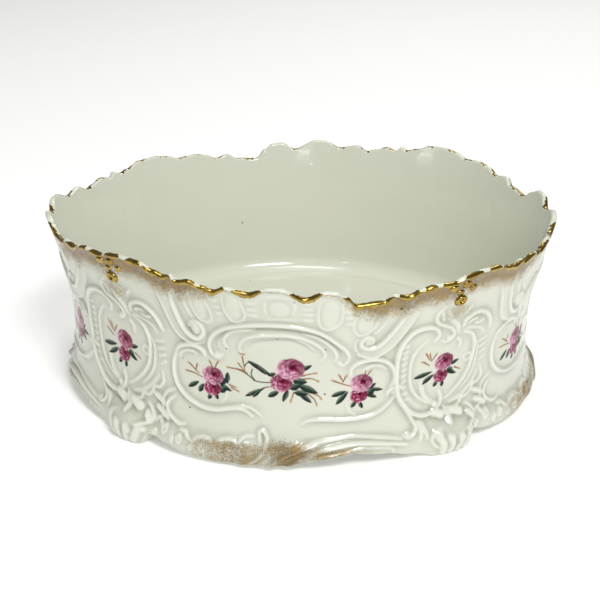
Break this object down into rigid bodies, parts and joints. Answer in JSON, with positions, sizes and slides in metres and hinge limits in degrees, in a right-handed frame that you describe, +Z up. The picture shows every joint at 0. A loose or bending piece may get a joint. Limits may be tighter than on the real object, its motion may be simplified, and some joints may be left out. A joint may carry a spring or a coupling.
{
  "type": "oval porcelain serving bowl",
  "caption": "Oval porcelain serving bowl with a scalloped gilt rim, raised scrollwork, shell feet at the corners and painted rose sprays.",
  "frame": {"origin": "on the ground under the middle of the bowl", "axes": "+X along the bowl's length, +Y towards its back, +Z up through its mouth"},
  "size_m": [0.2566, 0.2202, 0.0993],
  "materials": {
    "porcelain": "clear gloss glaze over greyish-white porcelain",
    "gilding": "bright burnished gold, worn on the crests",
    "rose_enamel": "overglaze printed enamel, satin gloss"
  },
  "bodies": {
    "root": {"bowl_wall": "porcelain", "bowl_floor": "porcelain", "foot_skirt_front": "porcelain", "foot_skirt_right": "porcelain", "foot_skirt_back": "porcelain", "foot_skirt_left": "porcelain", "shell_foot_front_right": "porcelain", "shell_foot_back_right": "porcelain", "shell_foot_back_left": "porcelain", "shell_foot_front_left": "porcelain", "panel_scrolls_front": "porcelain", "panel_scrolls_right": "porcelain", "panel_scrolls_back": "porcelain", "panel_scrolls_left": "porcelain", "corner_cartouche_front_right": "porcelain", "corner_cartouche_back_right": "porcelain", "corner_cartouche_back_left": "porcelain", "corner_cartouche_front_left": "porcelain", "gilt_boss_front_right": "gilding", "gilt_boss_back_right": "gilding", "gilt_boss_back_left": "gilding", "gilt_boss_front_left": "gilding", "rim_gilding": "gilding", "main_rose_transfers": "rose_enamel", "flank_rose_transfers": "rose_enamel", "corner_rose_transfers": "rose_enamel"}
  },
  "joints": []
}
